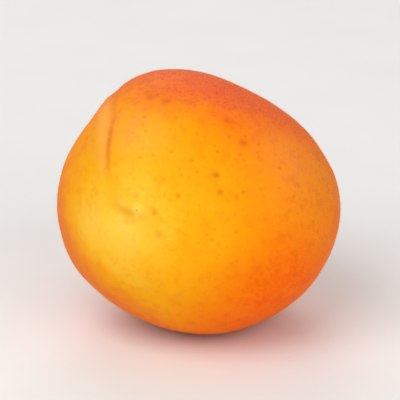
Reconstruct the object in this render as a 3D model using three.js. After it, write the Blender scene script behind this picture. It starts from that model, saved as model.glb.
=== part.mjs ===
// A ripe apricot, picked from its stalk and lying on its side, at life size.
//
// Millimetres, +Z up. The origin lies on the surface that carries the fruit, under the middle
// of its box. The tip looks towards -Y and a little up, and the stem hollow faces +Y.
//
// The fruit grew as one piece, so it is one closed skin. It is shaped standing, with its stem
// end up along +Z and its suture (the seam between its two cheeks) along +X, then it is laid
// down, and the flesh that touches the surface flattens there.
import * as THREE from "three";
import { mergeVertices } from "three/addons/utils/BufferGeometryUtils.js";

const { degToRad, lerp, smoothstep } = THREE.MathUtils;

// The body: an oval whose section is a little triangular and a little square.
const HALF_WIDTH = 24.3; // middle of the section's half widths
const STEM_HEIGHT = 26.4; // from the middle to the stem end, before its hollow
const TIP_HEIGHT = 24.7; // from the middle to the tip
const FULLNESS = 2.03; // exponent of the profile: 2 is an ellipse, and more is squarer
// How the section bulges out of round: how many bulges, how far, as a share of the half width,
// and how far the first of them is turned from the suture.
const BULGES = [
  { count: 2, height: 0.062, turn: degToRad(-26.3) },
  { count: 3, height: 0.019, turn: degToRad(18.2) },
  { count: 4, height: 0.013, turn: degToRad(25) },
];

// The suture runs from the stem hollow down one side and curls over the tip. The flesh dips
// there, steeply from the full cheek and gently from the flat one. The crease itself bows
// towards the full cheek, and the flat one has a low lip beside it.
const DIP_DEPTH = 1.5;
const DIP_OFFSET = 4; // its deepest line lies on the flat cheek
const DIP_WHOLE = 16; // distance along the suture, from the tip to where the dip is whole
const DIP_FULL_REACH = 6;
const DIP_FLAT_REACH = 9;
const LIP_HEIGHT = 0.35;
const LIP_REACH = 1.6;
const LIP_OFFSET = 1.9;
const LIP_FADE = 17; // distances along the suture where the lip starts to fade, and is gone
const LIP_LAST = 30;
const SUTURE_DEPTH = 0.32;
const SUTURE_REACH = 1.3;
const SUTURE_STEM_DEPTH = 1.5; // what the crease gains where it runs into the hollow
const SUTURE_STEM_REACH = 1.9;
const SUTURE_STEM_START = 46; // distances along the suture, measured from the tip
const SUTURE_STEM_END = 68;
const SUTURE_FIRST = -7; // the crease starts here, beyond the tip
const SUTURE_WHOLE = 6;
const SUTURE_CURL = 0.7; // slope of the curl where it crosses the tip
const SUTURE_CURL_REACH = 5.8;
const BOW_HEIGHT = 4;
const BOW_FIRST = 7; // distances along the suture where the bow starts, is whole and ends
const BOW_WHOLE = 21;
const BOW_FADE = 22;
const BOW_LAST = 60;

// The stem hollow is a funnel with soft folds on its shoulder. It is longer along the suture.
const HOLLOW_DEPTH = 8.4;
const HOLLOW_ALONG = 5.2; // half widths where it is a third of its depth
const HOLLOW_ACROSS = 4.8;
const HOLLOW_FLARE = 2.1; // exponent: lower is a more open trumpet
const FOLDS = 5;
const FOLD_HEIGHT = 0.2;
const FOLD_RADIUS = 7;
const FOLD_REACH = 3.5;

// The tip is a small point in a shallow dish.
const DISH_DEPTH = 0.75;
const DISH_REACH = 5;
const POINT_HEIGHT = 0.9;
const POINT_REACH = 1.5;
const POINT_OFFSET = 1.1; // the point sits beside the crease, on the full cheek

// Broad, faint unevenness of the flesh over the stone.
const SWELL_HEIGHT = 0.08;
const SWELLS = [
  { wave: new THREE.Vector3(0.31, 0.12, -0.2), start: 0.4 },
  { wave: new THREE.Vector3(-0.14, 0.29, 0.17), start: 2.1 },
  { wave: new THREE.Vector3(0.2, -0.23, 0.28), start: 4.0 },
];

// How it lies.
const TIP_RISE = degToRad(14.2); // the tip points this far above level
const SUTURE_ROLL = degToRad(48); // the suture is turned this far from the top, towards -X
const REST_DEPTH = 0.6; // how much of the round belly is pressed flat

// The net of faces. It is drawn towards the ends and the suture, where the form is finest.
const NET_CELLS = 30; // along each edge of the cube that the net starts from
const NET_STRETCH = 1.2;
const NET_PINCH = 0.65;
const NET_PULL = new THREE.Vector3(0.18, 0, 0.12);

const SKIN_COLOUR = 0xf7a531;
const SKIN_ROUGHNESS = 0.6;

// A hump of height 1 that fades out over its reach.
const hump = (distance, reach) => Math.exp(-((distance / reach) ** 2));

// Distance from the middle of the fruit to the plain body, in one direction.
function bodyRadius(direction) {
  const around = Math.atan2(direction.y, direction.x);
  const rise = ({ count, height, turn }) => height * Math.cos(count * (around - turn));
  const bulge = BULGES.reduce((sum, wave) => sum + rise(wave), 0);
  const across = Math.hypot(direction.x, direction.y) / (HALF_WIDTH * (1 + bulge));
  const height = lerp(TIP_HEIGHT, STEM_HEIGHT, smoothstep(direction.z, -0.6, 0.6));
  const along = Math.abs(direction.z) / height;
  return (along ** FULLNESS + across ** FULLNESS) ** (-1 / FULLNESS);
}

// How far the suture and the cheeks beside it lie below the body.
function sutureDepth(point) {
  const along = HALF_WIDTH * Math.atan2(point.x, -point.z);
  const aside = point.y + SUTURE_CURL * along * hump(along, SUTURE_CURL_REACH);
  const towardsStem = smoothstep(along, SUTURE_STEM_START, SUTURE_STEM_END);
  const bow = smoothstep(along, BOW_FIRST, BOW_WHOLE) * (1 - smoothstep(along, BOW_FADE, BOW_LAST));
  const fromCrease = aside - BOW_HEIGHT * bow;
  const reach = lerp(SUTURE_REACH, SUTURE_STEM_REACH, towardsStem);
  const crease = (SUTURE_DEPTH + SUTURE_STEM_DEPTH * towardsStem) * hump(fromCrease, reach);
  const fromDip = aside + DIP_OFFSET;
  const dipReach = fromDip > 0 ? DIP_FULL_REACH : DIP_FLAT_REACH;
  const dip = DIP_DEPTH * hump(fromDip, dipReach);
  const lipShare = bow * (1 - smoothstep(along, LIP_FADE, LIP_LAST));
  const lip = LIP_HEIGHT * lipShare * hump(fromCrease + LIP_OFFSET, LIP_REACH);
  const dipShare = smoothstep(along, 0, DIP_WHOLE) * (1 - towardsStem);
  const fromTip = smoothstep(along, SUTURE_FIRST, SUTURE_WHOLE);
  const fromStem = point.z > 0 ? smoothstep(point.x, 0, HOLLOW_ALONG) : 1;
  return fromTip * fromStem * (crease + dipShare * dip - lip);
}

// How far the stem hollow lies below the body.
function hollowDepth(point) {
  if (point.z < 0) return 0;
  const share = Math.hypot(point.x / HOLLOW_ALONG, point.y / HOLLOW_ACROSS);
  const funnel = HOLLOW_DEPTH * Math.exp(-(share ** HOLLOW_FLARE));
  const out = Math.hypot(point.x, point.y);
  const fold = Math.cos(FOLDS * Math.atan2(point.y, point.x)) * hump(out - FOLD_RADIUS, FOLD_REACH);
  return funnel + FOLD_HEIGHT * fold;
}

// How far the dish round the tip lies below the body, less the point in it.
function tipDepth(point) {
  if (point.z > 0) return 0;
  const dish = DISH_DEPTH * hump(Math.hypot(point.x, point.y), DISH_REACH);
  const mark = POINT_HEIGHT * hump(Math.hypot(point.x, point.y - POINT_OFFSET), POINT_REACH);
  return dish - mark;
}

// How far the flesh swells out of the body.
function swell(point) {
  const sum = SWELLS.reduce((total, { wave, start }) => total + Math.sin(wave.dot(point) + start), 0);
  return SWELL_HEIGHT * sum;
}

// The skin in one direction from the middle, with the fruit standing.
function skinPoint(direction) {
  const point = direction.clone().multiplyScalar(bodyRadius(direction));
  const depth = sutureDepth(point) + hollowDepth(point) + tipDepth(point) - swell(point);
  return point.addScaledVector(direction, -depth);
}

// An even, closed net of quads over a ball: a cube's grid, blown out to directions.
function directionNet() {
  const cube = new THREE.BoxGeometry(2, 2, 2, NET_CELLS, NET_CELLS, NET_CELLS);
  cube.deleteAttribute("normal");
  cube.deleteAttribute("uv");
  const net = mergeVertices(cube);
  const places = net.attributes.position;
  const direction = new THREE.Vector3();
  for (let i = 0; i < places.count; i++) {
    direction.fromBufferAttribute(places, i);
    for (const axis of ["x", "y", "z"]) direction[axis] = Math.tan((direction[axis] * Math.PI) / 4);
    direction.normalize();
    direction.y *= lerp(NET_PINCH, 1, Math.abs(direction.y));
    direction.z *= NET_STRETCH;
    direction.add(NET_PULL).normalize();
    places.setXYZ(i, direction.x, direction.y, direction.z);
  }
  return net;
}

// The turn that lays the standing fruit on its side.
function layingTurn() {
  const tip = new THREE.Vector3(0, -Math.cos(TIP_RISE), Math.sin(TIP_RISE));
  const top = new THREE.Vector3(0, Math.sin(TIP_RISE), Math.cos(TIP_RISE));
  const suture = top.applyAxisAngle(tip, SUTURE_ROLL);
  const stem = tip.clone().negate();
  const cheek = new THREE.Vector3().crossVectors(stem, suture);
  return new THREE.Matrix4().makeBasis(suture, cheek, stem);
}

// Sets the fruit down with its belly pressed flat at z = 0, over the origin.
function setDown(geometry) {
  geometry.computeBoundingBox();
  const { min, max } = geometry.boundingBox;
  geometry.translate(-(min.x + max.x) / 2, -(min.y + max.y) / 2, -min.z - REST_DEPTH);
  const places = geometry.attributes.position;
  for (let i = 0; i < places.count; i++) places.setZ(i, Math.max(0, places.getZ(i)));
  return geometry;
}

function apricotGeometry() {
  const skin = directionNet();
  const places = skin.attributes.position;
  const direction = new THREE.Vector3();
  for (let i = 0; i < places.count; i++) {
    const point = skinPoint(direction.fromBufferAttribute(places, i));
    places.setXYZ(i, point.x, point.y, point.z);
  }
  setDown(skin.applyMatrix4(layingTurn()));
  skin.computeVertexNormals();
  return skin;
}

const apricot = new THREE.Mesh(
  apricotGeometry(),
  new THREE.MeshStandardMaterial({ color: SKIN_COLOUR, roughness: SKIN_ROUGHNESS, metalness: 0 }),
);
apricot.name = "apricot";

const fruit = new THREE.Group();
fruit.add(apricot);

export default fruit;
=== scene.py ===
# %% [markdown]
# # A ripe apricot
#
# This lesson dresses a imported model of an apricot. The model gives the form: two cheeks, the
# suture between them, the stem hollow and the small point at the tip. Here the fruit gets what
# makes it look ripe: a finer skin, its colours, its freckles and its fuzz.
#
# Everything is in metres, in the model's own frame, with +Z up. The tip looks towards -Y. A
# fruit's own measures are easier to read in millimetres, so they are written that way, and
# turned into metres where Blender takes them.

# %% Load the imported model
import math

import bpy
import numpy as np
from mathutils import Matrix, Vector


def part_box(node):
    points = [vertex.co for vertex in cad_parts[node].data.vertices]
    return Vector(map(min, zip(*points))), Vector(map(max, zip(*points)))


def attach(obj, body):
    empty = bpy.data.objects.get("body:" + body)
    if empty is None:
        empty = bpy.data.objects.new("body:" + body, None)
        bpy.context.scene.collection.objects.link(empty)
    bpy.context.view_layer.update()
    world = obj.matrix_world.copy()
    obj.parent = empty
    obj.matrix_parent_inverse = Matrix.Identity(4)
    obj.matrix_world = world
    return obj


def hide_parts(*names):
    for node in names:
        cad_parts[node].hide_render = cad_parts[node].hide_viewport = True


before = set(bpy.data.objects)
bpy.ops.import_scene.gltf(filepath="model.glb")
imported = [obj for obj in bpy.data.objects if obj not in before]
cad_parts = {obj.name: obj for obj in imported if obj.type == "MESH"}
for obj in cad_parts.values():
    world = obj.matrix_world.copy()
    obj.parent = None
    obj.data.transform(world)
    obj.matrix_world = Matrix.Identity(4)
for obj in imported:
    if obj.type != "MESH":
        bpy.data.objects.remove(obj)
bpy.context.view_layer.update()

MM = 0.001  # a millimetre, in metres

low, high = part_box("apricot")
print("The fruit is", [round(side / MM, 1) for side in high - low], "mm")

# %% [markdown]
# ## Measures
#
# An apricot is easiest to think about standing on its tip, with the stem end up and the suture
# in front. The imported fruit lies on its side. So the lesson keeps one turn that takes a place
# on the lying fruit back to the standing one, in millimetres: x towards the suture, y towards
# the full cheek, z towards the stem. The mesh, the finish and the fuzz all use it.

# %% Where the fruit's own axes are
HALF_WIDTH = 24.3  # mm, from the fruit's axis to its skin
MIDDLE = Vector((-0.6, -0.55, 22.7))  # mm, where the fruit's axes meet
TIP_RISE = math.radians(14.2)  # the tip points this far above level
SUTURE_ROLL = math.radians(48)  # the suture is turned this far from the top

tip_way = Vector((0, -math.cos(TIP_RISE), math.sin(TIP_RISE)))
suture_way = Vector((0, math.sin(TIP_RISE), math.cos(TIP_RISE)))
suture_way.rotate(Matrix.Rotation(SUTURE_ROLL, 3, tip_way))
stem_way = -tip_way
cheek_way = stem_way.cross(suture_way)
TO_STANDING = Matrix((suture_way, cheek_way, stem_way))
print("The suture faces", [round(part, 2) for part in suture_way])

# %% [markdown]
# ## The skin
#
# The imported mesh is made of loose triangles. A copy of it is merged, its triangles are paired
# back into quads, and a Subdivision Surface makes the facets smooth. Modelling a fruit from a
# new ball would work too, but the copy keeps the exact form, so the fruit still fits its model.


# %% Select one piece, and apply a modifier to it
def only(piece):
    """Selects one object and nothing else."""
    bpy.ops.object.select_all(action="DESELECT")
    piece.select_set(True)
    bpy.context.view_layer.objects.active = piece


def apply_modifier(piece, kind, **settings):
    """Adds a modifier, gives it its settings and applies it."""
    only(piece)
    modifier = piece.modifiers.new(kind.title(), kind)
    for setting, value in settings.items():
        setattr(modifier, setting, value)
    bpy.ops.object.modifier_apply(modifier=modifier.name)


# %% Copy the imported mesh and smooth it
MERGE_DISTANCE = 0.001  # mm
SMOOTHING_LEVELS = 2

skin = bpy.data.objects.new("skin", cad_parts["apricot"].data.copy())
bpy.context.scene.collection.objects.link(skin)
only(skin)
bpy.ops.object.mode_set(mode="EDIT")
bpy.ops.mesh.select_all(action="SELECT")
bpy.ops.mesh.remove_doubles(threshold=MERGE_DISTANCE * MM)
bpy.ops.mesh.tris_convert_to_quads(face_threshold=math.pi, shape_threshold=math.pi)
bpy.ops.object.mode_set(mode="OBJECT")
corners = [len(face.vertices) for face in skin.data.polygons]
print("The skin's cage has", corners.count(4), "quads and", corners.count(3), "triangles")

apply_modifier(skin, "SUBSURF", levels=SMOOTHING_LEVELS, render_levels=SMOOTHING_LEVELS)
only(skin)
bpy.ops.object.shade_smooth()
print("Smoothed, it has", len(skin.data.polygons), "faces")

# %% [markdown]
# ## Fine relief
#
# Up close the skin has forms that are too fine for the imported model: the sharp line at the
# bottom of the suture, the wrinkles in the stem hollow, the scar where the stalk sat, and a
# faint unevenness all over. They could be sculpted. Here each line, pleat and scar is a vertex
# group, painted by place, and a Displace modifier that moves the skin by that paint, so that a
# depth is one number, and easy to change.


# %% Two soft curves that shape everything
def hump(distance, reach):
    """1 at no distance, fading out over the reach."""
    share = distance / reach
    return math.e ** -(share * share)


def ease(value, start, end):
    """0 before start, 1 after end, and smooth between them."""
    share = np.clip((value - start) / (end - start), 0, 1)
    return share * share * (3 - 2 * share)


print("Half a reach away, a hump is", round(hump(0.5, 1), 2), "high")


# %% Paint by place, and displace by paint
def standing_places(mesh):
    """Every vertex of a mesh in the standing frame, in millimetres, as x, y and z rows."""
    places = np.empty(len(mesh.vertices) * 3, np.float32)
    mesh.vertices.foreach_get("co", places)
    return np.array(TO_STANDING) @ (places.reshape(-1, 3) / MM - np.array(MIDDLE)).T


def paint(piece, name, weights):
    """Paints a vertex group with one weight for each vertex."""
    faintest = 0.01
    group = piece.vertex_groups.new(name=name)
    for index in np.flatnonzero(weights > faintest):
        group.add([int(index)], float(weights[index]), "REPLACE")


def raise_skin(name, weights, height):
    """Moves painted skin outwards by a height in millimetres, or inwards if it is negative."""
    paint(skin, name, weights)
    apply_modifier(skin, "DISPLACE", vertex_group=name, strength=height * MM, mid_level=0)
    print(f"{name}: {height:+.2f} mm")


# %% [markdown]
# ## The suture
#
# The suture curls over the tip and then bows towards the full cheek, as in the model. Its fine
# line bows a little further than the model's broad crease. Its place is needed twice, for the
# relief and for the colours. So it is one function that takes its arctangent and its ease from
# outside: it adds up numbers here, and shader nodes later.

# %% Where a place lies on the suture
CURL, CURL_REACH = 0.7, 5.8  # the suture's slope where it crosses the tip, and how far it curls
BOW_HEIGHT = 4.8
BOW = (7, 21.5, 21.5, 60)  # where it starts, is whole, starts to fade and is gone


def stretch(along, ends, smooth):
    """1 on a stretch of the suture, between soft ends that are given as distances from the tip."""
    start, whole, fade, last = ends
    return smooth(along, start, whole) * (1 - smooth(along, fade, last))


def suture_at(x, y, z, arctangent, smooth):
    """How far along the suture a place is, from the tip, and how far aside of it."""
    along = HALF_WIDTH * arctangent(x, -z)
    bow = BOW_HEIGHT * stretch(along, BOW, smooth)
    aside = y + CURL * along * hump(along, CURL_REACH) - bow
    return along, aside


x, y, z = standing_places(skin.data)
along, aside = suture_at(x, y, z, np.arctan2, ease)
print("From the tip to the stem end, the suture is", round(along.max()), "mm long")

# %% Press in the suture's line and the fold across the tip
CREASE_LINE = (5, 15, 66, 74)  # from beside the tip into the stem hollow
CREASE_REACH, CREASE_DEPTH = 0.7, 0.07
FOLD_ALONG, FOLD_LENGTH = 1, 3.2
FOLD_OFFSET, FOLD_REACH, FOLD_DEPTH = 0.3, 0.9, 0.3

line = hump(aside, CREASE_REACH) * stretch(along, CREASE_LINE, ease)
raise_skin("suture_line", line, -CREASE_DEPTH)

tip_fold = hump(aside + FOLD_OFFSET, FOLD_REACH) * hump(along - FOLD_ALONG, FOLD_LENGTH)
raise_skin("tip_fold", tip_fold, -FOLD_DEPTH)

# %% [markdown]
# ## The stem end
#
# A ripe apricot comes off its stalk and leaves a corky scar, at the bottom of a deep hollow with
# fine pleats round its throat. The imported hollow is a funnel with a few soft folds. Its throat
# is deepened here, pleats are raised by a sine wave that runs round it, and the scar is a ragged
# ring. Pulling each pleat by hand would take long, and would be hard to match with its colour.

# %% Shape the hollow's throat, its pleats and the scar
STEM_START, STEM_WHOLE = 5, 12  # heights on the standing fruit
THROAT_REACH, THROAT_DEPTH = 2.4, 0.4
PLEATS = 17
PLEATS_OUT, PLEATS_REACH, PLEATS_HEIGHT = 4.2, 2.2, 0.18
PLEATS_SWING, PLEATS_TWIST = 2.2, 0.6  # how unequal they are, and how they curl as they go out
SCAR_RADIUS, SCAR_EDGE, SCAR_HEIGHT = 1.8, 0.42, 0.3
PIT_REACH, PIT_DEPTH = 1.1, 0.35


def pleats_at(around, out, sine):
    """0 in a pleat's furrow, and 1 on its back."""
    swing = PLEATS_SWING * sine(3 * around)
    return 0.5 + 0.5 * sine(PLEATS * around + swing + PLEATS_TWIST * out)


out = np.hypot(x, y)
around = np.arctan2(y, x)
at_stem = ease(z, STEM_START, STEM_WHOLE)
raise_skin("throat", hump(out, THROAT_REACH) * at_stem, -THROAT_DEPTH)

pleats = pleats_at(around, out, np.sin) * hump(out - PLEATS_OUT, PLEATS_REACH)
raise_skin("pleats", pleats * at_stem, PLEATS_HEIGHT)

ragged = SCAR_RADIUS * (1 + 0.12 * np.sin(5 * around) + 0.08 * np.sin(9 * around + 1))
raise_skin("scar_ring", hump(out - ragged, SCAR_EDGE) * at_stem, SCAR_HEIGHT)
raise_skin("scar_pit", hump(out, PIT_REACH) * at_stem, -PIT_DEPTH)

# %% [markdown]
# ## An uneven skin
#
# No fruit is as even as its formula. Two layers of cloudy displacement, broad lumps and a fine
# grain, break up the light on it. Noise in the finish alone would leave the outline too perfect.


# %% Let the whole skin be a little uneven
def uneven(name, size, height, depth):
    """Displaces the skin by a cloudy texture whose lumps have a size in millimetres."""
    clouds = bpy.data.textures.new(name, "CLOUDS")
    clouds.noise_scale = size * MM
    clouds.noise_depth = depth
    apply_modifier(skin, "DISPLACE", texture=clouds, strength=height * MM, mid_level=0.5)
    bpy.data.textures.remove(clouds)
    print(f"{name}: {height} mm high and {size} mm wide")


uneven("lumps", size=5, height=0.22, depth=1)
uneven("grain", size=1.2, height=0.05, depth=2)

# %% [markdown]
# ## Ready to ride
#
# The paint has done its work, so its groups go. The flat spot stays flat, because nothing may
# hang below the floor. Then the skin is tied to the body that it moves with, and it takes the
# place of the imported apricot.

# %% Clean the skin, and tie it to its body
for group in list(skin.vertex_groups):
    skin.vertex_groups.remove(group)
for vertex in skin.data.vertices:
    vertex.co.z = max(0, vertex.co.z)
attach(skin, "root")
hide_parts("apricot")
print("The skin's highest point is", round(max(v.co.z for v in skin.data.vertices) / MM, 1), "mm")

# %% [markdown]
# ## Shader maths that reads like arithmetic
#
# Every colour on the skin depends on where it is: how near the suture, how far from the tip.
# Wiring that by hand takes dozens of Math nodes. A small class wraps a socket instead, so that
# an expression such as `1 - mask` adds its nodes by itself.


# %% A value that changes over the surface
class Value:
    """The output of a node, which arithmetic turns into more nodes."""

    def __init__(self, tree, socket):
        self.tree = tree
        self.socket = socket

    def output(self, name):
        """Another output of the same node."""
        return Value(self.tree, self.socket.node.outputs[name])

    def maths(self, operation, *values):
        """What a Math node makes of some values."""
        return self.tree.add("ShaderNodeMath", {"operation": operation}, values)

    def __add__(self, other):
        return self.maths("ADD", self, other)

    __radd__ = __add__

    def __mul__(self, other):
        return self.maths("MULTIPLY", self, other)

    __rmul__ = __mul__

    def __sub__(self, other):
        return self.maths("SUBTRACT", self, other)

    def __rsub__(self, other):
        return self.maths("SUBTRACT", other, self)

    def __truediv__(self, other):
        return self.maths("DIVIDE", self, other)

    def __rtruediv__(self, other):
        return self.maths("DIVIDE", other, self)

    def __pow__(self, other):
        return self.maths("POWER", self, other)

    def __rpow__(self, other):
        return self.maths("POWER", other, self)

    def __neg__(self):
        return self * -1

    def sine(self):
        return self.maths("SINE", self)

    def arctan2(self, other):
        return self.maths("ARCTAN2", self, other)


# %% [markdown]
# A finish and the scatter of the fuzz are both trees of nodes. So one class holds the only
# method that adds a node, and the class for a finish builds on it with what a painter asks for:
# where a point is, a soft edge, a cloudy value, a mixed colour. Colours are easiest to choose
# from a paint chart, so a helper turns them into the light that Blender works with.


# %% A tree of nodes
class Nodes:
    """A tree of nodes, and the one method that adds a node to it."""

    def __init__(self, tree):
        self.nodes = tree.nodes
        self.links = tree.links
        self.nodes.clear()

    def add(self, kind, settings=None, values=(), output=0):
        """Adds a node: its settings first, then a value or a link for each named socket."""
        node = self.nodes.new(kind)
        for setting, value in (settings or {}).items():
            if setting == "color_ramp":
                self.set_stops(node.color_ramp, value)
            else:
                setattr(node, setting, value)
        named = values.items() if isinstance(values, dict) else enumerate(values)
        for key, value in named:
            if isinstance(value, Value):
                self.links.new(value.socket, node.inputs[key])
            else:
                node.inputs[key].default_value = value
        return Value(self, node.outputs[output]) if node.outputs else node

    def set_stops(self, ramp, stops):
        """Gives a colour ramp its stops."""
        while len(ramp.elements) < len(stops):
            ramp.elements.new(1)
        for stop, (position, shade) in zip(ramp.elements, stops):
            stop.position = position
            stop.color = shade


# %% A finish
class Finish(Nodes):
    """A material."""

    def __init__(self, name):
        self.material = bpy.data.materials.new(name)
        self.material.use_nodes = True
        super().__init__(self.material.node_tree)

    def place(self):
        """Where a point is on the standing fruit, in millimetres, as x, y, z and all three."""
        spot = self.add("ShaderNodeTexCoord", output="Object")
        settings = {"vector_type": "POINT"}
        values = {"Vector": spot, "Scale": (1 / MM,) * 3, "Location": -(TO_STANDING @ MIDDLE)}
        values["Rotation"] = TO_STANDING.to_euler()
        whole = self.add("ShaderNodeMapping", settings, values)
        parts = [self.add("ShaderNodeSeparateXYZ", {}, [whole], axis) for axis in "XYZ"]
        return (*parts, whole)

    def ease(self, value, start, end):
        """0 before start, 1 after end, and smooth between them."""
        values = {"Value": value, "From Min": start, "From Max": end}
        return self.add("ShaderNodeMapRange", {"interpolation_type": "SMOOTHSTEP"}, values)

    def noise(self, where, size, detail=2, roughness=0.5):
        """A cloudy value about 0.5, whose lumps have a size in the units of where."""
        values = {"Vector": where, "Scale": 1 / size, "Detail": detail, "Roughness": roughness}
        return self.add("ShaderNodeTexNoise", {}, values)

    def mix(self, share, first, second):
        """Two colours, mixed by a share."""
        return self.add("ShaderNodeMix", {"data_type": "RGBA"}, {0: share, 6: first, 7: second}, 2)

    def finish_with(self, **sockets):
        """Ends the material in a Principled shader."""
        values = {name.replace("_", " "): value for name, value in sockets.items()}
        shader = self.add("ShaderNodeBsdfPrincipled", {}, values)
        self.add("ShaderNodeOutputMaterial", {}, [shader])
        return self.material


# %% Colours from a paint chart
def colour(red, green, blue):
    """A colour from a paint chart, 0 to 255 each way, as light."""
    parts = [part / 255 for part in (red, green, blue)]
    light = [p / 12.92 if p <= 0.04045 else ((p + 0.055) / 1.055) ** 2.4 for p in parts]
    return (*light, 1)


print("Mid grey on a paint chart is", round(colour(128, 128, 128)[0], 2), "as light")

# %% [markdown]
# ## The ripe skin
#
# An apricot ripens from pale yellow at the tip to orange towards the stem, and the cheek that
# saw the sun turns coral. An image wrapped round the fruit would need a seam. So the finish lays
# thin glazes over each other, as a painter does, and each knows its place on the fruit.

# %% A finish made of glazes
CLOUD_SIZE, MOTTLE_SIZE, SPECKLE_SIZE = 8, 2.4, 0.9  # mm
TIP_FACES = (0, -0.14, -1)  # the palest skin faces this way
# On the flat cheek the warmer ground is partly painted shade and warm reflected light at its edge.
FLAT_CHEEK = (10, 19)  # distances out on the flat cheek, where the ground grows warmer
GROUND = [  # how warm a place is, and its colour there
    (0.0, colour(252, 191, 46)),
    (0.05, colour(252, 186, 38)),
    (0.12, colour(252, 172, 14)),
    (0.3, colour(252, 160, 4)),
    (0.5, colour(251, 144, 2)),
    (0.75, colour(248, 123, 4)),
    (1.0, colour(245, 116, 10)),
]


class Glazes(Finish):
    """The finish of the fruit, whose colour is glazed over again and again."""

    def __init__(self, name):
        super().__init__(name)
        self.x, self.y, self.z, self.spot = self.place()
        self.way = self.add("ShaderNodeVectorMath", {"operation": "NORMALIZE"}, [self.spot])
        self.clouds = self.noise(self.spot, CLOUD_SIZE, 3) - 0.5
        self.mottle = self.noise(self.spot, MOTTLE_SIZE, 3, 0.6) - 0.5
        self.speckle = self.noise(self.spot, SPECKLE_SIZE, 2, 0.6) - 0.5
        warmth = 0.95 * (1 - self.towards(*TIP_FACES)) + 0.3 * self.ease(-self.y, *FLAT_CHEEK)
        warmth = warmth + 0.16 * self.clouds + 0.14 * self.mottle + 0.1 * self.speckle
        self.shade = self.add("ShaderNodeValToRGB", {"color_ramp": GROUND}, [warmth])

    def towards(self, *direction):
        """1 where the skin faces a direction of the standing fruit, and -1 on the far side."""
        values = [self.way, Vector(direction).normalized()]
        return self.add("ShaderNodeVectorMath", {"operation": "DOT_PRODUCT"}, values, "Value")

    def distance(self, *place):
        """Millimetres from a place on the standing fruit."""
        values = [self.spot, Vector(place)]
        return self.add("ShaderNodeVectorMath", {"operation": "DISTANCE"}, values, "Value")

    def glaze(self, share, tint, mottled=0):
        """Lays a share of a tint over the colour so far, broken up by the mottle if asked."""
        if mottled:
            share = share * (1 + mottled * self.mottle)
        self.shade = self.mix(share, self.shade, tint)


ripe = Glazes("ripe_skin")
print("The ground colour has", len(GROUND), "stops")

# %% [markdown]
# ## Washes, patches and marbling
#
# The ground is too smooth to be fruit. Broad washes deepen the shaded side and redden the cheek
# that saw the sun, smaller patches hold cream, peach and rose, one dusky patch is painted shade,
# and marbling runs through them. Noise moves their edges or breaks them up, so that none ends in
# a clean line.

# %% Mix the tints
DEEP_ORANGE = colour(255, 98, 1)
PALE_ORANGE = colour(252, 154, 20)
CREAM = colour(254, 206, 84)
CORAL = colour(234, 92, 54)
ROSE_TINT_AND_SHADE = colour(234, 108, 44)
BURNT_ORANGE = colour(212, 84, 6)
PEACH = colour(253, 152, 84)
# Dusky is painted shade, a duller orange where shadow would fall.
DUSKY_SHADE = colour(222, 100, 44)
print("Coral is", [round(part, 2) for part in CORAL[:3]], "as light")

# %% Wash the shaded side and the full cheek
drift = 0.22 * ripe.clouds + 0.1 * ripe.mottle


def facing(direction, wander, start, end):
    """The side that faces a direction, with an edge that wanders with the drift."""
    return ripe.ease(ripe.towards(*direction) + wander * drift, start, end)


deep = facing((-0.99, 0.07, -0.11), wander=0.5, start=0.6, end=1.12)
ripe.glaze(0.98 * deep, DEEP_ORANGE)
pale = facing((-0.5, 0.82, -0.2), wander=1, start=0.84, end=1)
ripe.glaze(0.5 * pale, PALE_ORANGE)
print("Two washes take", len(ripe.nodes), "nodes so far")

# %% Lay the smaller patches
PATCHES = [  # each patch's place on the standing fruit, its reach, its share and its tint
    ((5, 19.5, -11), 4.5, 0.35, DEEP_ORANGE),
    ((-0.8, -3.5, -23.4), 4.2, 0.65, CREAM),
    ((4.5, -8.7, -22.4), 3.6, 0.4, CREAM),
    ((9.8, 8.8, -21), 5, 0.22, CREAM),
    ((-7, 22.5, -6), 7, 0.3, PEACH),
    ((14, 6.5, -19), 5, 0.3, PEACH),
    ((16, -12, -13), 6, 0.35, ROSE_TINT_AND_SHADE),
    # this dusky patch is painted shade
    ((17, 12, -13), 5.5, 0.3, DUSKY_SHADE),
]
for place, reach, share, tint in PATCHES:
    ripe.glaze(share * hump(ripe.distance(*place), reach), tint, mottled=2.5)
print("Patches laid:", len(PATCHES))

# %% Redden the cheeks
# The flat cheek's rose is partly its own colour and partly painted shade along that edge.
flat_cheek_tint_and_shade = ripe.ease(20 * drift - ripe.y, 10.5, 18)
ripe.glaze(0.55 * flat_cheek_tint_and_shade, ROSE_TINT_AND_SHADE)
blush = facing((0.64, 0.69, 0.34), wander=1.4, start=0.38, end=0.92)
ripe.glaze(0.85 * blush, CORAL)
print("With the blush, the skin takes", len(ripe.nodes), "nodes")

# %% Marble the skin
marbling = ripe.mottle + 0.6 * ripe.speckle
dark_veins = ripe.ease(marbling, -0.02, 0.22)
pale_veins = ripe.ease(-marbling, -0.02, 0.22)
orange_side = ripe.ease(ripe.z, -22, -8)  # the pale tip has less of it
ripe.glaze((0.1 + 0.14 * orange_side) * dark_veins, BURNT_ORANGE)
ripe.glaze(0.22 * orange_side * (1 - blush) * pale_veins, PALE_ORANGE)
print("With the marbling, it takes", len(ripe.nodes))

# %% [markdown]
# ## Freckles
#
# Sun brings out freckles: soft brown ones on the full cheek, and fine red ones where it blushes.
# Voronoi cells give each dot a random place. A few cells are chosen by their random colour, so
# that the dots don't look printed. The few marks that show most are set one by one.

# %% Scatter the freckles
RED = colour(196, 48, 30)
FRECKLE = colour(200, 98, 18)


def dots(spacing, radius, chosen):
    """Soft dots with a spacing and radius in millimetres, on a chosen share of their cells."""
    cells = ripe.add("ShaderNodeTexVoronoi", {}, {"Vector": ripe.spot, "Scale": 1 / spacing})
    chance = ripe.add("ShaderNodeSeparateColor", {}, [cells.output("Color")])
    edge = radius / spacing
    dot = 1 - ripe.ease(cells, 0.4 * edge, edge)
    return dot * ripe.ease(chance, 1 - chosen, 1.001 - chosen)


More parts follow.
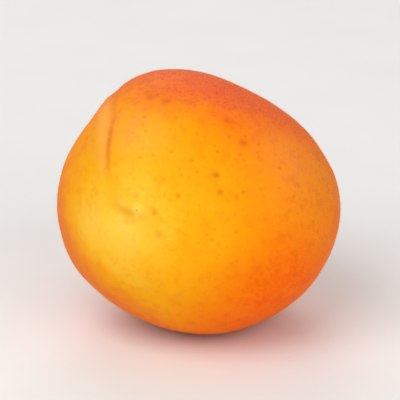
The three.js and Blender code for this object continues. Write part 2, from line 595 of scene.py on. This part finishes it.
freckled = 0.12 + 0.88 * ripe.ease(ripe.y, 0, 11)
ripe.glaze(0.42 * freckled * dots(spacing=2.7, radius=0.55, chosen=0.22), FRECKLE)
ripe.glaze(0.28 * freckled * dots(spacing=1.2, radius=0.42, chosen=0.3), FRECKLE)
ripe.glaze(0.5 * blush * dots(spacing=0.9, radius=0.4, chosen=0.45), RED)
ripe.glaze(0.3 * blush * dots(spacing=1.7, radius=0.6, chosen=0.25), RED)
print("With the freckles, it takes", len(ripe.nodes))

# %% Set the few marks that show most
OLIVE_BROWN = colour(196, 108, 12)
MARKS = [  # each mark's place on the standing fruit, its reach, its share and its tint
    ((-3.6, 14.8, -19.3), 0.62, 0.74, OLIVE_BROWN),
    ((-6.5, 13.7, -19.7), 0.62, 0.66, OLIVE_BROWN),
    ((-2.3, 3.4, -24.0), 0.75, 0.4, OLIVE_BROWN),
    ((-5.7, 1.5, -23.9), 0.8, 0.35, OLIVE_BROWN),
    ((-1.1, 19.9, -12.9), 0.8, 0.65, BURNT_ORANGE),
    ((4.3, 19.3, -11.2), 0.8, 0.55, BURNT_ORANGE),
    ((13.6, 13.5, -14.4), 0.9, 0.6, BURNT_ORANGE),
    ((16, 11.7, -14.4), 0.9, 0.5, BURNT_ORANGE),
]
for place, reach, share, tint in MARKS:
    ripe.glaze(share * hump(ripe.distance(*place), reach), tint)
print("Marks set by hand:", len(MARKS))

# %% [markdown]
# ## Colour in the suture
#
# Painted shade darkens the crease a little, a painted highlight lies pale on the lip beside it,
# and coral gathers along its stem half. Each is a soft hump about its own line. The same measures
# as in the relief keep colour and form together.

# %% Tint the suture
LIP_HIGHLIGHT = colour(255, 172, 84)
CREASE_SHADE = colour(214, 100, 22)
# Ochre is painted shade in the fold across the tip, and the blotches round the tip.
OCHRE_BLOTCH_AND_SHADE = colour(212, 142, 10)
SEAM_YELLOW = colour(246, 180, 4)
LIP_OFFSET, LIP_NEAR = 1.9, 0.55  # how far aside the lip is, and the share where it starts
LIP_REACH, LIP_GAIN = 0.7, 1.2  # its reach where it starts, and what that gains
along, aside = suture_at(ripe.x, ripe.y, ripe.z, Value.arctan2, ripe.ease)


def beside_crease(offset, reach, ends):
    """A soft line along the crease. Its offset is towards the full cheek."""
    return hump(aside - offset, reach) * stretch(along, ends, ripe.ease)


widening = ripe.ease(along, 8, 22)
# A painted highlight runs pale along the lip beside the crease.
lip_highlight = beside_crease(
    offset=-LIP_OFFSET * (LIP_NEAR + (1 - LIP_NEAR) * widening),
    reach=LIP_REACH + LIP_GAIN * widening,
    ends=(5, 15, 22, 36),
)
ripe.glaze(0.55 * lip_highlight, LIP_HIGHLIGHT, mottled=0.8)

flush = beside_crease(offset=-1, reach=3.2, ends=(22, 34, 50, 68))
ripe.glaze(0.42 * flush, CORAL, mottled=1.2)

# Painted shade runs down the crease, a darker orange line.
crease_shade = beside_crease(offset=0.15, reach=0.8, ends=(7, 11, 66, 74))
crease_shade = crease_shade * (1 - 0.4 * ripe.ease(along, 15, 21))  # it is strongest near the tip
ripe.glaze(0.52 * crease_shade, CREASE_SHADE, mottled=1.2)

seam = beside_crease(offset=-0.2, reach=1.3, ends=(2.5, 6, 8, 12))
ripe.glaze(0.45 * seam, SEAM_YELLOW)
# Painted shade lies along the fold across the tip.
fold_shade = hump(aside + FOLD_OFFSET, 1) * hump(along - 1.5, FOLD_LENGTH)
ripe.glaze(0.5 * fold_shade, OCHRE_BLOTCH_AND_SHADE)
print("With the suture, the skin takes", len(ripe.nodes), "nodes")

# %% [markdown]
# ## Colour at the tip
#
# The tip ends in a small point, where the flower's style once stood. The point gets a painted
# highlight, the palest place on the fruit, with a brown speck of dried style in it, and the skin
# around it is blotched with ochre and yellow. Both sit beside the suture, as the point does in the
# model.

# %% Tint the tip
# Pale yellow is a painted highlight on the point, and the yellow blotches round the tip.
POINT = colour(255, 218, 100)
STYLE_SCAR = colour(150, 84, 30)
POINT_OFFSET = 1.1  # the tip's point sits beside the suture, on the full cheek
POINT_HIGHLIGHT_REACH, STYLE_REACH, BLOTCHED_REACH = 1.1, 0.2, 5.5
beside = ripe.y - POINT_OFFSET
from_point = (ripe.x * ripe.x + beside * beside) ** 0.5
tip_side = 1 - ripe.ease(ripe.z, -14, -8)
# A painted highlight on the point.
ripe.glaze(0.55 * hump(from_point, POINT_HIGHLIGHT_REACH) * tip_side, POINT)
ripe.glaze(0.5 * hump(from_point, STYLE_REACH) * tip_side, STYLE_SCAR)
round_tip = hump(from_point, BLOTCHED_REACH) * tip_side
ripe.glaze(0.4 * dots(spacing=2.6, radius=1.15, chosen=0.5) * round_tip, OCHRE_BLOTCH_AND_SHADE)
ripe.glaze(0.3 * dots(spacing=1.6, radius=0.8, chosen=0.4) * round_tip, POINT)
print("With the tip, it takes", len(ripe.nodes))

# %% [markdown]
# ## Colour in the stem hollow
#
# The hollow stays a greener yellow, because the stalk shaded it, and painted shade darkens it to
# olive in the throat and along the furrows between the pleats. The scar is cork with a dark core.
# Plain circles would look stamped, so gritty noise frays their edges.

# %% Tint the stem hollow
LEAF_YELLOW = colour(228, 178, 48)
OLIVE_SHADE = colour(158, 112, 30)
CORK = colour(168, 120, 70)
BARK = colour(78, 48, 26)
GRIT_SIZE = 0.5  # mm
HOLLOW_REACH, SHADED_REACH = 7, 3.6
out = (ripe.x * ripe.x + ripe.y * ripe.y) ** 0.5
around = ripe.y.arctan2(ripe.x)
stem_side = ripe.ease(ripe.z, 0, 8)
furrow_shade = (1 - pleats_at(around, out, Value.sine)) * hump(out - PLEATS_OUT, PLEATS_REACH)
grit = ripe.noise(ripe.spot, GRIT_SIZE, 3, 0.7)
ripe.glaze(0.55 * hump(out, HOLLOW_REACH) * stem_side, LEAF_YELLOW, mottled=1.2)
# Painted shade darkens the throat and the furrows between the pleats.
ripe.glaze(0.45 * hump(out, SHADED_REACH) * stem_side, OLIVE_SHADE)
ripe.glaze(0.12 * furrow_shade * stem_side, OLIVE_SHADE)
ripe.glaze(0.9 * (1 - ripe.ease(out + 0.9 * grit, 2, 2.8)) * stem_side, CORK)
ripe.glaze(0.85 * (1 - ripe.ease(out + 1.4 * grit, 1.2, 2.2)) * stem_side, BARK)
print("With the hollow, it takes", len(ripe.nodes))

# %% [markdown]
# ## The shader under the colour
#
# Ripe flesh lets light in a little way, and the down on it kills any sharp gloss. So the shader
# has some subsurface scattering, next to no mirror shine, a trace of sheen, and a fine grain in
# its bump and roughness. Numbers that are the same all over stay on the shader's own sockets.

# %% End the skin's finish
GRAIN_SIZE = 0.3  # mm
BUMP_HEIGHT = 0.04  # mm
LIGHT_DEPTH = 1.2  # mm, how far red light wanders inside the flesh
grain = ripe.noise(ripe.spot, GRAIN_SIZE, 3, 0.6)
values = {"Strength": 0.3, "Distance": BUMP_HEIGHT * MM, "Height": grain}
bump = ripe.add("ShaderNodeBump", {}, values)
ripe_skin = ripe.finish_with(
    Base_Color=ripe.shade,
    Roughness=0.5 + 0.12 * grain,
    Normal=bump,
    Subsurface_Weight=0.3,
    Subsurface_Radius=(1.0, 0.4, 0.1),
    Subsurface_Scale=LIGHT_DEPTH * MM,
    Specular_IOR_Level=0.04,
    Sheen_Weight=0.03,
    Sheen_Roughness=0.3,
    Sheen_Tint=colour(255, 180, 130),
)
skin.data.materials.clear()
skin.data.materials.append(ripe_skin)
print("The skin's finish has", len(ripe_skin.node_tree.nodes), "nodes")

# %% [markdown]
# ## The fuzz
#
# An apricot is velvety because short, pale hairs cover it, and they catch the light along its
# edge. Particle hair would be quick, but it has no mesh of its own to hand on. So one hair is
# modelled as a slim spike with three sides, and geometry nodes scatter it over the skin, turn
# every copy a little and make them all one mesh.

# %% Model one hair
HAIR_LENGTH = 0.42  # mm
HAIR_RADIUS = 0.014  # mm
HAIR_ROOT = 0.06  # mm, how much of it is below the skin
HAIR_SIDES = 3

bpy.ops.object.select_all(action="DESELECT")
bpy.ops.mesh.primitive_cone_add(
    vertices=HAIR_SIDES,
    radius1=HAIR_RADIUS * MM,
    radius2=0,
    depth=HAIR_LENGTH * MM,
    location=(0, 0, (HAIR_LENGTH / 2 - HAIR_ROOT) * MM),
)
hair = bpy.context.object
bpy.ops.object.transform_apply(location=True)
bpy.ops.object.shade_smooth()
print("One hair has", len(hair.data.polygons), "faces")

# %% [markdown]
# No hair grows on the scar, nor on the flat spot, where the floor would be in its way. A painted
# attribute says how thickly the hairs stand at each place, and it fades in slowly, so that no
# line shows where they start.

# %% Paint where the hairs grow
BALD_REACH, BALD_SHARE = 2.6, 1.6  # round the scar; a share over 1 leaves its middle all bare
GROWTH_START, GROWTH_WHOLE = 0.7, 1.8  # mm above the floor

fuzz = bpy.data.objects.new("fuzz", skin.data.copy())
bpy.context.scene.collection.objects.link(fuzz)
heights = np.array([vertex.co.z for vertex in fuzz.data.vertices]) / MM
x, y, z = standing_places(fuzz.data)
bald = BALD_SHARE * hump(np.hypot(x, y), BALD_REACH) * ease(z, STEM_START, STEM_WHOLE)
hairy = (1 - np.clip(bald, 0, 1)) * ease(heights, GROWTH_START, GROWTH_WHOLE)
paint(fuzz, "growth", hairy)
print("Hairs grow on", round(100 * np.mean(hairy > 0)), "percent of the skin's points")

# %% [markdown]
# The scatter drops points on the faces, gives each one a copy of the hair that leans and turns
# by chance, and realises the copies. Every chance has its seed, so the fuzz is the same each
# time. Applying the modifier leaves a plain mesh.

# %% Drop the roots
HAIR_DENSITY = 6.3  # to the square millimetre
ROOT_SEED, LEAN_SEED, SIZE_SEED = 5, 1, 2

fuzz_tree = bpy.data.node_groups.new("scatter_hairs", "GeometryNodeTree")
for end in ("INPUT", "OUTPUT"):
    fuzz_tree.interface.new_socket("Mesh", in_out=end, socket_type="NodeSocketGeometry")
scatter = Nodes(fuzz_tree)
surface = scatter.add("NodeGroupInput")
settings = {"data_type": "FLOAT"}
growth = scatter.add("GeometryNodeInputNamedAttribute", settings, {"Name": "growth"})
values = {"Mesh": surface, "Density": growth * (HAIR_DENSITY / MM**2), "Seed": ROOT_SEED}
roots = scatter.add("GeometryNodeDistributePointsOnFaces", {}, values)
print("Where it is thickest, the fuzz has", HAIR_DENSITY, "hairs to the square millimetre")

# %% Lean, turn and size each hair by chance
HAIR_LEAN = 0.55  # how far it leans at most, in radians
HAIR_SMALLEST, HAIR_LARGEST = 0.5, 1.15  # times its length

values = {0: (-HAIR_LEAN, -HAIR_LEAN, -math.pi), 1: (HAIR_LEAN, HAIR_LEAN, math.pi)}
values["Seed"] = LEAN_SEED
lean = scatter.add("FunctionNodeRandomValue", {"data_type": "FLOAT_VECTOR"}, values)
lean = scatter.add("FunctionNodeEulerToRotation", {}, [lean])
values = [roots.output("Rotation"), lean]
turn = scatter.add("FunctionNodeRotateRotation", {"rotation_space": "LOCAL"}, values)
values = {2: HAIR_SMALLEST, 3: HAIR_LARGEST, "Seed": SIZE_SEED}
size = scatter.add("FunctionNodeRandomValue", {}, values, 1)
print("A hair leans up to", round(math.degrees(HAIR_LEAN)), "degrees each way")

# %% Copy the hair to every root
one_hair = scatter.add("GeometryNodeObjectInfo", {}, {"Object": hair}, "Geometry")
values = {"Points": roots, "Instance": one_hair, "Rotation": turn, "Scale": size}
hairs = scatter.add("GeometryNodeInstanceOnPoints", {}, values)
hairs = scatter.add("GeometryNodeRealizeInstances", {}, [hairs])
scatter.add("NodeGroupOutput", {}, [hairs])
apply_modifier(fuzz, "NODES", node_group=fuzz_tree)
print("The fuzz has", len(fuzz.data.polygons) // (HAIR_SIDES + 1), "hairs")
bpy.data.objects.remove(hair)

# %% [markdown]
# Real down is clear, and takes its colour from the skin behind it. Clear hairs would be slow to
# render, and at this size two tones of warm yellow, mixed by noise, look the same. The fuzz
# rides on the same body as the skin.

# %% Finish the fuzz, and tie it to its body
TONE_SIZE = 3  # mm
down = Finish("pale_down")
tones = down.noise(down.place()[3], TONE_SIZE)
tone = down.mix(tones, colour(255, 168, 70), colour(255, 196, 100))
fuzz.data.materials.clear()
fuzz.data.materials.append(down.finish_with(Base_Color=tone, Roughness=0.6))
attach(fuzz, "root")
print("The fuzz is finished in", down.material.name)

# %% [markdown]
# ## The floor
#
# The fruit lies on wide, pale paper, so that nothing competes with its colours and the paper's
# edge stays out of the picture. A sheet that curves up at the back would do that too, but from
# the other sides its curve would show. The paper is stage: it isn't part of the fruit.

# %% Lay the floor
FLOOR_SIDE = 6  # m
PAPER_SPECK = 0.02  # m
bpy.ops.object.select_all(action="DESELECT")
bpy.ops.mesh.primitive_plane_add(size=FLOOR_SIDE, location=(0, 0, 0))
floor = bpy.context.object
floor.name = "floor"
paper = Finish("pale_paper")
speck = paper.noise(paper.add("ShaderNodeTexCoord", output="Object"), PAPER_SPECK)
shade = paper.mix(speck, colour(235, 234, 232), colour(240, 239, 237))
pale_paper = paper.finish_with(Base_Color=shade, Roughness=0.8, Specular_IOR_Level=0.15)
floor.data.materials.append(pale_paper)
print("The floor is", FLOOR_SIDE, "m across")

# %% [markdown]
# ## Light
#
# Velvety fruit looks best in wide, soft light, because a small hard lamp would burn out its
# colour. A large panel to the left of the camera models the form, a weaker one on the right
# opens the shadows, a third behind lights the edge, and a pale world fills the rest.

# %% Light the room
WORLD_STRENGTH = 0.42
PANELS = [  # each panel's name, its place and its side in metres, and its watts
    ("key", (-0.14, -0.64, 0.75), 0.8, 5.6),
    ("fill", (0.8, -0.45, 0.45), 0.8, 3.5),
    ("back", (-0.5, 0.8, 0.65), 0.6, 3.2),
]
scene = bpy.context.scene
scene.view_settings.view_transform = "Standard"
scene.world = bpy.data.worlds.new("studio")
scene.world.use_nodes = True
background = scene.world.node_tree.nodes["Background"]
background.inputs["Color"].default_value = (1, 1, 1, 1)
background.inputs["Strength"].default_value = WORLD_STRENGTH


def panel(name, place, side, watts):
    """A square panel of soft light that faces the fruit."""
    light = bpy.data.lights.new(name, "AREA")
    light.size = side
    light.energy = watts
    lamp = bpy.data.objects.new(name, light)
    lamp.location = place
    lamp.rotation_euler = (MIDDLE * MM - Vector(place)).to_track_quat("-Z", "Y").to_euler()
    lamp.visible_camera = False
    scene.collection.objects.link(lamp)


for name, place, side, watts in PANELS:
    panel(name, place, side, watts)
    print(name, "gives", watts, "watts")

# %% [markdown]
# ## The camera
#
# The camera looks down a little, from the side of the full cheek. It stands well back with a
# long lens. From close by, the near side of the fruit would swell and its true form be lost.

# %% Set up the camera
AZIMUTH, ELEVATION = math.radians(27.4), math.radians(21)
DISTANCE = 0.6  # m
FRAME_WIDTH = 0.072  # m, what the picture shows across, at the fruit
camera_data = bpy.data.cameras.new("camera")
camera = bpy.data.objects.new("camera", camera_data)
scene.collection.objects.link(camera)
scene.camera = camera
aim = Vector((0, 0, (high.z + low.z) / 2))
back = Vector((0, -math.cos(ELEVATION), math.sin(ELEVATION)))  # from the fruit to the camera
back.rotate(Matrix.Rotation(AZIMUTH, 3, "Z"))
camera.location = aim + back * DISTANCE
camera.rotation_euler = (-back).to_track_quat("-Z", "Y").to_euler()
camera_data.lens = camera_data.sensor_width * DISTANCE / FRAME_WIDTH
print("The lens is", round(camera_data.lens), "mm long")
